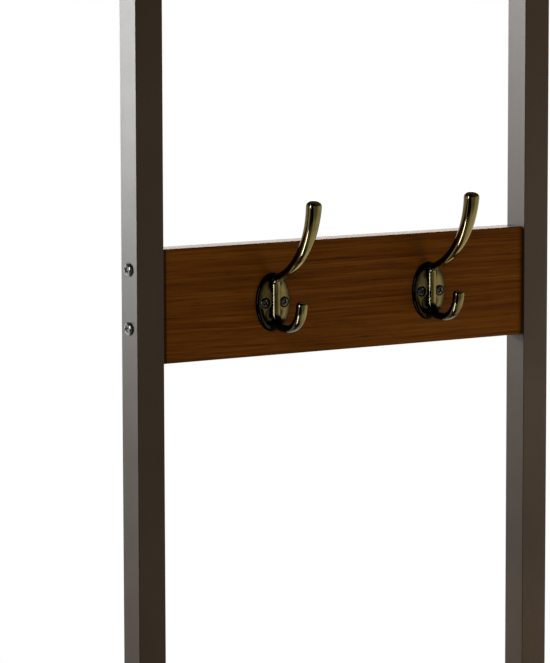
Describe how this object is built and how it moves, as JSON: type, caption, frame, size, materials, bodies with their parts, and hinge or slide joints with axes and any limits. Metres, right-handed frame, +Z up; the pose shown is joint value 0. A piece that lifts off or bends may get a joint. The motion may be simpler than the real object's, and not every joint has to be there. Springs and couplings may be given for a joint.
{
  "type": "hall tree with hooks",
  "caption": "Slim free-standing hall tree: square steel posts joined by walnut rails, double coat hooks on the middle rail, a bench seat and a rod shoe shelf.",
  "frame": {"origin": "on the floor, at the middle of the footprint", "axes": "+X to the right of someone who faces the hooks, +Y to the wall behind, +Z up"},
  "size_m": [0.4162, 0.34, 1.82],
  "materials": {
    "brown_powder_coat": "semi-gloss dark brown powder coat",
    "walnut_board": "satin walnut-grain laminate",
    "antique_brass": "polished antique brass",
    "dark_screw": "darkened to match the hooks",
    "zinc_fastener": "bright zinc",
    "insert_metal": "plain turned brass",
    "black_plastic": "matt black moulding"
  },
  "bodies": {
    "root": {"left_post": "brown_powder_coat", "left_front_leg": "brown_powder_coat", "left_seat_bearer": "brown_powder_coat", "left_shelf_bearer": "brown_powder_coat", "left_post_cap": "black_plastic", "left_rear_foot": "black_plastic", "left_front_foot": "black_plastic", "right_post": "brown_powder_coat", "right_front_leg": "brown_powder_coat", "right_seat_bearer": "brown_powder_coat", "right_shelf_bearer": "brown_powder_coat", "right_post_cap": "black_plastic", "right_rear_foot": "black_plastic", "right_front_foot": "black_plastic", "left_hook": "antique_brass", "left_hook_screws": "dark_screw", "right_hook": "antique_brass", "right_hook_screws": "dark_screw", "hook_rail": "walnut_board", "hook_rail_bolts": "zinc_fastener", "hook_rail_inserts": "insert_metal", "top_rail": "walnut_board", "top_rail_bolts": "zinc_fastener", "top_rail_inserts": "insert_metal", "seat_board": "walnut_board", "seat_screws": "zinc_fastener", "front_seat_rail": "brown_powder_coat", "front_seat_rail_bolts": "zinc_fastener", "front_seat_rail_plugs": "black_plastic", "rear_seat_rail": "brown_powder_coat", "rear_seat_rail_bolts": "zinc_fastener", "rear_seat_rail_plugs": "black_plastic", "shelf_rod_1": "brown_powder_coat", "shelf_rod_2": "brown_powder_coat", "shelf_rod_3": "brown_powder_coat", "shelf_rod_4": "brown_powder_coat", "shelf_rod_5": "brown_powder_coat", "shelf_rod_6": "brown_powder_coat"}
  },
  "joints": []
}
